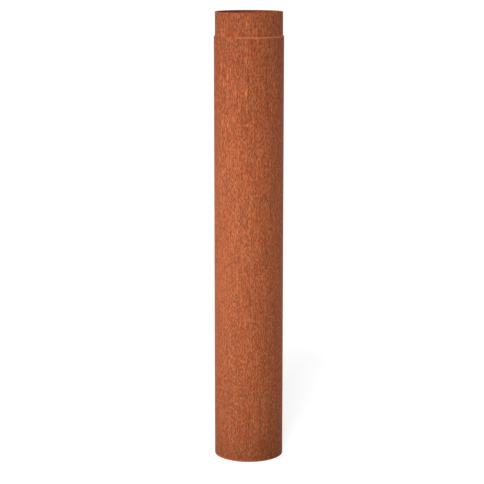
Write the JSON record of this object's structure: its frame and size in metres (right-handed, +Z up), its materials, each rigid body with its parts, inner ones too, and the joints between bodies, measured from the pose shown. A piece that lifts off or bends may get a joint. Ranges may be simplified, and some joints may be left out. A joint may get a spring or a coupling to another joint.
{
  "type": "stove pipe",
  "caption": "Straight round flue pipe of thick weathering steel, one end swaged over a short shoulder into a spigot that slides into the wide end of the next pipe.",
  "frame": {"origin": "centre of the wide end, on the surface that the pipe stands on", "axes": "+Z up the pipe's axis, out of the spigot; X and Y are equal, because the pipe is round"},
  "size_m": [0.1539, 0.154, 1],
  "materials": {
    "weathering_steel": null
  },
  "bodies": {
    "root": {"pipe": "weathering_steel"}
  },
  "joints": []
}
